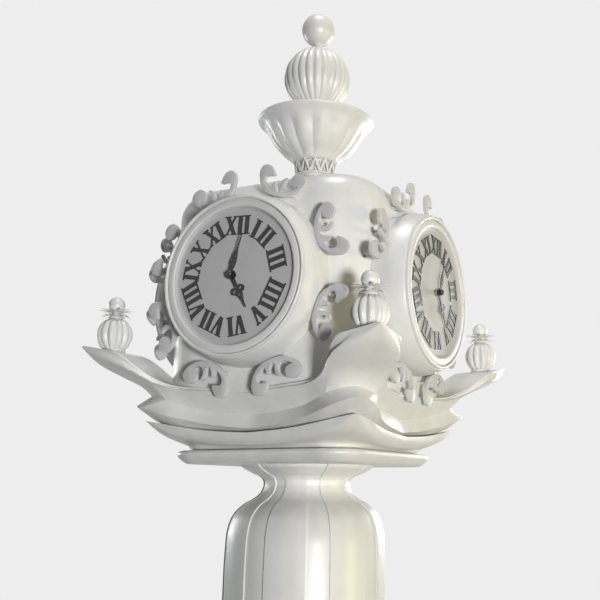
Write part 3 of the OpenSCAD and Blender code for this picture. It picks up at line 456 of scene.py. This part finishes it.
def make_pillar():
    bm = bmesh.new()
    rows = []
    head = [(p.x, PILLAR_TOP - p.y) for p in smooth_line([(*p, 0) for p in PILLAR_LINE], 5)]
    shaft = [(SHAFT_R, height) for height in (PILLAR_TOP - 700, PILLAR_TOP - 1100, PILLAR_FOOT)]
    for radius, height in head + shaft:
        row = []
        for sector in range(8):
            middle = 45 * sector + 22.5 + PILLAR_TURN
            rib = (45 - CHANNEL_ARC) / 2
            row += [turned_place(math.radians(middle + rib * (k / 5 - 1)), radius, height) for k in range(11)]
            row += [turned_place(math.radians(middle + rib + CHANNEL_ARC * k / 6),
                                 radius - CHANNEL_DEPTH, height) for k in range(7)]
        rows.append(row + row[:1])
    skin(bm, rows)
    bmesh.ops.remove_doubles(bm, verts=bm.verts, dist=0.01)
    bmesh.ops.contextual_create(bm, geom=rim_edges(bm, PILLAR_TOP - 1, PILLAR_TOP + 1))
    bmesh.ops.contextual_create(bm, geom=rim_edges(bm, PILLAR_FOOT - 1, PILLAR_FOOT + 1))
    ring = [(r, PILLAR_FOOT + z) for r, z in BASE_RING]
    turned(bm, ring + ring[:1], 128)
    return finish_piece(bm, "fluted_pillar", ["column"], "cast_white", crisp=40)


# ---- round parts of each face, drawn with Z outwards from the clock's axis
FACE = [Matrix.Rotation(math.radians(90 * k), 4, "Z") @ Matrix.Rotation(math.radians(90), 4, "X")
        for k in range(4)]
DIAL_FACE = 471
DRUM_BACK_R = 272
DRUM_FRONT_R = 254
DRUM_LIP = DIAL_FACE + 3
DIAL_RIM = DIAL_FACE + 7
DIAL_BACK = DIAL_FACE - 4
DIAL_FLAT_R = 197.6
DIAL_SEAT_R = 231
BEZEL_IN_R = 217
BEZEL_OUT_R = 252
BEZEL_LIP = DIAL_FACE + 15
GROOVE_R = BEZEL_OUT_R - 9


def flat_places(line):
    return [(p[0], p[1]) for p in line]


def make_face(k):
    side = SIDES[k]
    drum = bmesh.new()
    curve = bezier([(DRUM_BACK_R, CASE_HALF, 0), (DRUM_BACK_R + 3, CASE_HALF + 40, 0),
                    (DRUM_FRONT_R + 8, DRUM_LIP - 14, 0), (DRUM_FRONT_R, DRUM_LIP, 0)], 28)
    line = [(DRUM_BACK_R, CASE_HALF - 45)] + flat_places(curve) + [
        (DIAL_SEAT_R, DRUM_LIP), (DIAL_SEAT_R, DIAL_BACK - 8), (DRUM_BACK_R - 9, CASE_HALF),
        (DRUM_BACK_R - 9, CASE_HALF - 45)]
    turned(drum, line + line[:1], 180)
    bmesh.ops.transform(drum, matrix=FACE[k], verts=drum.verts)
    finish_piece(drum, "drum_casting_" + side, ["drum_" + side], "cast_white")

    bezel = bmesh.new()
    inner = bezier([(BEZEL_IN_R, DIAL_RIM + 2, 0), (BEZEL_IN_R + 1, DIAL_RIM + 6, 0),
                    (BEZEL_IN_R + 8, BEZEL_LIP - 2, 0), (GROOVE_R - 6, BEZEL_LIP - 4, 0)], 14)
    outer = bezier([(GROOVE_R, BEZEL_LIP - 3, 0), (GROOVE_R + 1, BEZEL_LIP + 1, 0),
                    (BEZEL_OUT_R, BEZEL_LIP + 1, 0), (BEZEL_OUT_R, BEZEL_LIP - 5, 0)], 14)
    line = [(BEZEL_IN_R, DIAL_RIM)] + flat_places(inner) + [
        (GROOVE_R - 3, BEZEL_LIP - 6), (GROOVE_R - 2, BEZEL_LIP - 11), (GROOVE_R, BEZEL_LIP - 11)
        ] + flat_places(outer) + [(BEZEL_OUT_R, DRUM_LIP), (DIAL_SEAT_R, DRUM_LIP), (DIAL_SEAT_R, DIAL_RIM)]
    turned(bezel, line + line[:1], 180)
    bmesh.ops.transform(bezel, matrix=FACE[k], verts=bezel.verts)
    finish_piece(bezel, "bezel_ring_" + side, ["bezel_" + side], "cast_white")

    dial = bmesh.new()
    dish = bezier([(DIAL_FLAT_R, DIAL_FACE, 0), (DIAL_FLAT_R + 12, DIAL_FACE, 0),
                   (BEZEL_IN_R - 6, DIAL_FACE + 2, 0), (BEZEL_IN_R - 1, DIAL_RIM, 0)], 16)
    line = [(10, DIAL_BACK), (10, DIAL_FACE), (100, DIAL_FACE), (190, DIAL_FACE)] + flat_places(dish) + [
        (DIAL_SEAT_R - 1, DIAL_RIM), (DIAL_SEAT_R - 1, DIAL_BACK)]
    turned(dial, line + line[:1], 180)
    bmesh.ops.transform(dial, matrix=FACE[k], verts=dial.verts)
    finish_piece(dial, "dial_plate_" + side, ["dial_" + side], "dial_grey")


# ---- scrollwork: one flat scroll, across and up from the dial's centre
SCROLL_LINE = (
    (44, 336), (51, 357), (67, 366), (86, 359), (98, 340), (100, 326), (72, 327), (65, 315), (69, 300),
    (86, 282), (97, 301), (105, 299), (107, 285), (113, 271), (119, 269), (124, 276), (124, 290),
    (131, 303), (141, 309), (150, 307), (142, 299), (137, 288), (138, 276), (146, 267), (160, 264),
    (184, 272), (170, 277), (162, 288), (161, 299), (167, 310), (180, 316), (195, 314), (207, 305),
    (213, 293), (211, 279), (189, 259), (150, 248), (107, 256), (72, 273), (48, 308))
SCROLL_FACE = 419
SCROLL_T = 12
STUD_PLACES = ((154, 256), (67, 289))
STUD_R = 5


def make_scrollwork(k):
    bm = bmesh.new()
    outline = [bm.verts.new((p.x, p.y, SCROLL_FACE - SCROLL_T)) for p in
               smooth_loop([(*p, 0) for p in SCROLL_LINE], 4)]
    back = bm.faces.new(outline)
    raised = bmesh.ops.extrude_face_region(bm, geom=[back])["geom"]
    lifted = [e for e in raised if isinstance(e, bmesh.types.BMVert)]
    bmesh.ops.translate(bm, verts=lifted, vec=(0, 0, SCROLL_T))
    bm.faces.ensure_lookup_table()
    front = [e for e in raised if isinstance(e, bmesh.types.BMFace)]
    bmesh.ops.bevel(bm, geom=[e for f in front for e in f.edges], offset=1.1, segments=2, profile=0.5,
                    affect="EDGES", material=-1)
    for x, y in STUD_PLACES:
        bmesh.ops.create_cone(bm, cap_ends=True, segments=20, radius1=STUD_R, radius2=STUD_R, depth=44,
                              matrix=Matrix.Translation((x, y, SCROLL_FACE - SCROLL_T - 21)))
    copy = bmesh.ops.duplicate(bm, geom=bm.verts[:] + bm.edges[:] + bm.faces[:])["geom"]
    bmesh.ops.scale(bm, vec=(-1, 1, 1), verts=[e for e in copy if isinstance(e, bmesh.types.BMVert)])
    bmesh.ops.reverse_faces(bm, faces=[e for e in copy if isinstance(e, bmesh.types.BMFace)])
    quarter_turns(bm)
    bmesh.ops.transform(bm, matrix=FACE[k], verts=bm.verts)
    return finish_piece(bm, "scrollwork_" + SIDES[k], ["scrolls_" + SIDES[k]], "scroll_grey")


# ---- ribbed balls, bowl, collar and finials
def ribbed_rows(profile, ribs, depth, columns):
    """Rows round an axis: the profile holds (radius, height, share of the groove depth)."""
    rows = []
    for radius, height, part in profile:
        row = []
        for k in range(ribs * columns + 1):
            a = 2 * math.pi * k / (ribs * columns)
            groove = 1 - abs(math.cos(ribs * a / 2))
            row.append(turned_place(a, radius * (1 - depth * part * groove), height))
        rows.append(row)
    return rows


def ball_line(radius, middle, low, high, steps):
    return [(radius * math.cos(a), middle + radius * math.sin(a), 1) for a in
            (low + (high - low) * k / steps for k in range(steps + 1))]


def ribbed_ball(bm, radius, foot, foot_r, top_r, ribs, depth, columns):
    """A ribbed ball from a flat foot to a flat top."""
    low = -math.acos(foot_r / radius)
    high = math.acos(top_r / radius)
    middle = foot - radius * math.sin(low)
    line = ball_line(radius, middle, low, high, 26)
    ends = [(0.001, line[0][1], 0)], [(0.001, line[-1][1], 0)]
    skin(bm, ribbed_rows(ends[0] + line + ends[1], ribs, depth, columns))


BOWL_LINE = (
    (70, 0, 0), (80, 5, 0.3), (99, 22, 1), (122, 40, 1), (138, 56, 1), (152, 74, 1), (165, 96, 1),
    (172, 108, 0.8), (178, 118, 0.5), (187, 132, 0.2), (198, 143, 0), (207, 151, 0), (210, 156, 0),
    (208.5, 160, 0), (203, 159, 0), (190, 146, 0), (176, 132, 0.3), (162, 114, 0.7), (146, 86, 1),
    (122, 58, 1), (90, 38, 1), (38, 34, 0))
BOWL_RIBS = 14
BOWL_GROOVES = 0.06
BALL_RIBS = 24
BALL_GROOVES = 0.055
LEAF_RING_R = 74


def make_crown():
    bowl = bmesh.new()
    line = smooth_line(BOWL_LINE, 3)
    rows = ribbed_rows([(0.001, BOWL_FOOT, 0)] + [(p.x, BOWL_FOOT + p.y, max(0, p.z)) for p in line]
                       + [(38, BALL_FOOT, 0), (0.001, BALL_FOOT, 0)], BOWL_RIBS, BOWL_GROOVES, 12)
    skin(bowl, rows)
    finish_piece(bowl, "fluted_bowl", ["crown_bowl"], "cast_white")

    ball = bmesh.new()
    ribbed_ball(ball, 121, BALL_FOOT, 38, 30, BALL_RIBS, BALL_GROOVES, 8)
    finish_piece(ball, "crown_ball_casting", ["crown_ribbed_ball"], "cast_white")

    collar = bmesh.new()
    top = BOWL_FOOT
    stem = bezier([(108, CASE_TOP + 14, 0), (70, CASE_TOP + 20, 0), (60, CASE_TOP + 50, 0),
                   (58, CASE_TOP + 110, 0)], 20)
    turned(collar, [(0.001, CASE_TOP), (112, CASE_TOP), (112, CASE_TOP + 10)] + flat_places(stem)
           + [(62, CASE_TOP + 114), (72, CASE_TOP + 115), (74, CASE_TOP + 118), (72, CASE_TOP + 121),
              (56, CASE_TOP + 122), (55, top), (0.001, top)], 96)
    for k in range(12):
        for lean in (-1, 1):
            a = 2 * math.pi * (k + 0.5) / 12
            b = a + lean * math.radians(17)
            path = [turned_place(a + (b - a) * t, LEAF_RING_R - 5 + 5 * t + 3 * lean * t * (1 - t),
                                 CASE_TOP + 117 + (top + 9 - CASE_TOP - 117) * t)
                    for t in (i / 8 for i in range(9))]
            widths = [2.6 + 2.2 * math.sin(math.pi * t) - 2.3 * t ** 3 for t in (i / 8 for i in range(9))]
            tube(collar, path, widths, 1.6, Vector((math.cos(a), math.sin(a), 0)))
    for k in range(24):
        a = 2 * math.pi * k / 24
        stalk = [turned_place(a, 64, CASE_TOP + 116 + 44 * t) for t in (0, 0.5, 1)]
        tube(collar, stalk, [2.4, 2.0, 1.6], 2.0, Vector((math.cos(a), math.sin(a), 0)), 6)
    finish_piece(collar, "leaf_collar", ["crown_collar"], "cast_white")


def make_finials():
    balls = bmesh.new()
    one = bmesh.new()
    ribbed_ball(one, 57, FINIAL_SEAT, 34, 20, 12, 0.14, 10)
    at_corners(balls, one)
    finish_piece(balls, "corner_ball_castings", ["corner_balls"], "cast_white")

    knobs = bmesh.new()
    one = bmesh.new()
    s = KNOB_SEAT
    turned(one, [(0.001, s), (20, s), (24, s + 4), (20, s + 9), (14, s + 14), (12, s + 20),
                 (0.001, s + 26)], 40)
    bmesh.ops.create_uvsphere(one, u_segments=40, v_segments=24, radius=27,
                              matrix=Matrix.Translation((0, 0, s + 45)))
    steps = [i / 7 for i in range(8)]
    widths = [3 + 3.4 * math.sin(math.pi * min(1, t + 0.15)) - 2.6 * t ** 2 for t in steps]
    for k in range(10):
        a = 2 * math.pi * k / 10
        rising = [turned_place(a, 12 + 44 * t, s + 22 + 12 * t - 6 * t * t) for t in steps]
        tube(one, rising, widths, 1.1, Vector((0, 0, 1)))
        b = a + math.pi / 10
        drooping = [turned_place(b, 14 + 34 * t, s + 14 + 8 * t - 19 * t * t) for t in steps]
        tube(one, drooping, widths, 1.1, Vector((0, 0, 1)))
    at_corners(knobs, one)
    finish_piece(knobs, "corner_knob_castings", ["corner_knobs"], "cast_white")


upper_tier = make_upper_tier()
make_lower_tier()
make_head_plate()
pillar = make_pillar()
for side_number in range(4):
    make_face(side_number)
    make_scrollwork(side_number)
make_crown()
make_finials()

# ---- camera
forward = Vector((math.sin(CAMERA_HEADING) * math.cos(CAMERA_PITCH),
                  math.cos(CAMERA_HEADING) * math.cos(CAMERA_PITCH), math.sin(CAMERA_PITCH)))
level_right = Vector((math.cos(CAMERA_HEADING), -math.sin(CAMERA_HEADING), 0))
level_up = level_right.cross(forward)
camera_right = level_right * math.cos(CAMERA_ROLL) + level_up * math.sin(CAMERA_ROLL)
camera_up = level_up * math.cos(CAMERA_ROLL) - level_right * math.sin(CAMERA_ROLL)
camera = bpy.data.objects.new("camera", bpy.data.cameras.new("camera"))
camera.matrix_world = Matrix.Translation(CAMERA_PLACE) @ Matrix((
    (camera_right.x, camera_up.x, -forward.x, 0), (camera_right.y, camera_up.y, -forward.y, 0),
    (camera_right.z, camera_up.z, -forward.z, 0), (0, 0, 0, 1)))
camera.data.sensor_fit = "AUTO"
camera.data.sensor_width = CAMERA_SENSOR
camera.data.lens = CAMERA_LENS
camera.data.shift_x = CAMERA_SHIFT_X
camera.data.shift_y = CAMERA_SHIFT_Y
camera.data.clip_start = 0.05
camera.data.clip_end = 100
bpy.context.scene.collection.objects.link(camera)
bpy.context.scene.camera = camera
bpy.context.view_layer.update()

# ---- how each measured thing sits on its image point
LONG_SIDE = max(IMAGE_W, IMAGE_H)
FOCAL = LONG_SIDE * CAMERA_LENS / CAMERA_SENSOR


def in_picture(place):
    """Where a place shows in the photograph's frame, across and down."""
    seen = camera.matrix_world.inverted() @ Vector(place)
    return (IMAGE_W / 2 - CAMERA_SHIFT_X * LONG_SIDE - FOCAL * seen.x / seen.z,
            IMAGE_H / 2 + CAMERA_SHIFT_Y * LONG_SIDE + FOCAL * seen.y / seen.z)


def place_on(point, carrier):
    """Where an image point's ray meets the piece that carries it, or the nearest place on it."""
    x, y = point
    ray = Vector((x - IMAGE_W / 2 + CAMERA_SHIFT_X * LONG_SIDE,
                  IMAGE_H / 2 - y + CAMERA_SHIFT_Y * LONG_SIDE, -FOCAL))
    aim = (camera.matrix_world.to_3x3() @ ray).normalized()
    tree = BVHTree.FromObject(carrier, bpy.context.evaluated_depsgraph_get())
    hit = tree.ray_cast(CAMERA_PLACE, aim)[0]
    if hit is None:
        hit = tree.find_nearest(CAMERA_PLACE + aim * (Vector((0, 0, DIAL_Z)) - CAMERA_PLACE).length)[0]
    return hit


def axis_picture(k, point, carrier):
    """Where a dial's axis shows, at the depth where the point's ray meets the carrier."""
    outward = MILLIMETRES @ FACE[k]
    depth = (outward.inverted() @ place_on(point, carrier)).z
    return in_picture(outward @ Vector((0, 0, depth)))


def piece_picture(name):
    return [in_picture(v.co) for v in bpy.data.objects[name].data.vertices]


def ball_picture(name):
    """The ball of a node alone, without the neck that it stands on."""
    places = [v.co for v in bpy.data.objects[name].data.vertices]
    width = max(place.x for place in places) - min(place.x for place in places)
    foot = max(place.z for place in places) - width
    return [in_picture(place) for place in places if place.z >= foot]


def corner_pictures(name, corner):
    """The picture places of one corner's share of a piece."""
    return [in_picture(v.co) for v in bpy.data.objects[name].data.vertices
            if v.co.x * corner[0] > 0 and v.co.y * corner[1] > 0]


def middle_of(places):
    xs = [p[0] for p in places]
    ys = [p[1] for p in places]
    return ((min(xs) + max(xs)) / 2, (min(ys) + max(ys)) / 2)


def pillar_edge(name, heights, pick):
    """The pillar's left or right edge across the picture, from its vertices between two heights.

    The row is the image point's own, so only the place across is measured.
    """
    low, high = heights
    near = [in_picture(v.co) for v in pillar.data.vertices if low < v.co.z < high]
    return (pick(p[0] for p in near), POINTS[name][1])


SHAFT_HEIGHTS = (1.7, 2.02)
NECK_HEIGHTS = (2.26, 2.29)
tier_picture = piece_picture("upper_tier_casting")
near_tip = max((v.co for v in upper_tier.data.vertices), key=lambda c: (round(c.x - c.y, 3), c.z))
found = {
    "top_ball": middle_of(ball_picture("crown_top_ball")),
    "crown_ball": middle_of(piece_picture("crown_ball_casting")),
    "lip_left": min(tier_picture),
    "lip_right": max(tier_picture),
    "lip_near": in_picture(near_tip),
    "front_pivot": axis_picture(0, POINTS["front_pivot"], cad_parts["minute_hand_front"]),
    "right_pivot": axis_picture(1, POINTS["right_pivot"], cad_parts["minute_hand_right"]),
    "near_ball": middle_of(corner_pictures("corner_ball_castings", (1, -1))),
    "left_ball": middle_of(corner_pictures("corner_ball_castings", (-1, -1))),
    "right_ball": middle_of(corner_pictures("corner_ball_castings", (1, 1))),
    "pillar_left": pillar_edge("pillar_left", SHAFT_HEIGHTS, min),
    "pillar_right": pillar_edge("pillar_right", SHAFT_HEIGHTS, max),
    "neck_left": pillar_edge("neck_left", NECK_HEIGHTS, min),
    "neck_right": pillar_edge("neck_right", NECK_HEIGHTS, max),
    "plate_left": min(piece_picture("head_plate_casting")),
}

# ---- studio
PAPER = (0.852, 0.852, 0.852, 1)


def shown_to_the_eye(tree, bounced, seen):
    """A shader that is seen by the eye, in mirrors and through glass; bounced light meets the other one."""
    rays = tree.nodes.new("ShaderNodeLightPath")
    mirrored = tree.nodes.new("ShaderNodeMath")
    mirrored.operation = "MAXIMUM"
    shown = tree.nodes.new("ShaderNodeMath")
    shown.operation = "MAXIMUM"
    chosen = tree.nodes.new("ShaderNodeMixShader")
    tree.links.new(rays.outputs["Is Glossy Ray"], mirrored.inputs[0])
    tree.links.new(rays.outputs["Is Transmission Ray"], mirrored.inputs[1])
    tree.links.new(rays.outputs["Is Camera Ray"], shown.inputs[0])
    tree.links.new(mirrored.outputs["Value"], shown.inputs[1])
    tree.links.new(shown.outputs["Value"], chosen.inputs["Fac"])
    tree.links.new(bounced, chosen.inputs[1])
    tree.links.new(seen, chosen.inputs[2])
    return chosen.outputs["Shader"]


world = bpy.data.worlds.new("studio")
bpy.context.scene.world = world
world.use_nodes = True
sky = world.node_tree
sky.nodes.clear()
paper = sky.nodes.new("ShaderNodeBackground")
paper.inputs["Color"].default_value = PAPER
room = sky.nodes.new("ShaderNodeBackground")
room.inputs["Color"].default_value = (0.9, 0.92, 1.0, 1)
room.inputs["Strength"].default_value = 0.01
sky_out = sky.nodes.new("ShaderNodeOutputWorld")
sky.links.new(shown_to_the_eye(sky, room.outputs["Background"], paper.outputs["Background"]),
              sky_out.inputs["Surface"])


def softbox(name, place, aim, size, power, colour):
    lamp = bpy.data.lights.new(name, "AREA")
    lamp.size = size
    lamp.energy = power
    lamp.color = colour
    made = bpy.data.objects.new(name, lamp)
    made.location = place
    made.rotation_euler = (Vector(aim) - Vector(place)).to_track_quat("-Z", "Y").to_euler()
    bpy.context.scene.collection.objects.link(made)
    return made


HEAD = (0, 0, DIAL_Z)
softbox("key", (6.6, -6.15, 0.9), HEAD, 1.3, 670, (1, 1, 1))
softbox("warm_side", (8.7, 1.3, 1.2), HEAD, 1.6, 175, (1.0, 0.84, 0.2))
softbox("back_fill", (1.0, 7.2, 3.4), HEAD, 2.4, 360, (0.96, 0.98, 1.0))
softbox("left_fill", (-7.0, 1.6, 3.2), HEAD, 2.4, 150, (0.96, 0.98, 1.0))
softbox("overhead", (0.4, -0.6, 8.5), HEAD, 1.5, 150, (1, 1, 1))

floor_bm = bmesh.new()
bmesh.ops.create_circle(floor_bm, cap_ends=True, segments=96, radius=6)
floor_mesh = bpy.data.meshes.new("floor")
floor_bm.to_mesh(floor_mesh)
floor_bm.free()
floor = bpy.data.objects.new("floor", floor_mesh)
floor.location.z = -0.001
floor_paint = finish("studio_floor", (0.8, 0.8, 0.8), (0.76, 0.76, 0.76),
                     1.5, 60, 0.95, 0.03, 0.0, 0.0003, gloss=0.0)
ground = floor_paint.node_tree
dim = ground.nodes.new("ShaderNodeBsdfDiffuse")
dim.inputs["Color"].default_value = (0.1, 0.1, 0.1, 1)
glow = ground.nodes.new("ShaderNodeEmission")
glow.inputs["Color"].default_value = PAPER
pale = ground.nodes.new("ShaderNodeMixShader")
pale.inputs["Fac"].default_value = 0.6
ground.links.new(ground.nodes["Principled BSDF"].outputs["BSDF"], pale.inputs[1])
ground.links.new(glow.outputs["Emission"], pale.inputs[2])
ground.links.new(shown_to_the_eye(ground, dim.outputs["BSDF"], pale.outputs["Shader"]),
                 ground.nodes["Material Output"].inputs["Surface"])
floor_mesh.materials.append(floor_paint)
bpy.context.scene.collection.objects.link(floor)

bpy.context.scene.view_settings.view_transform = "Standard"
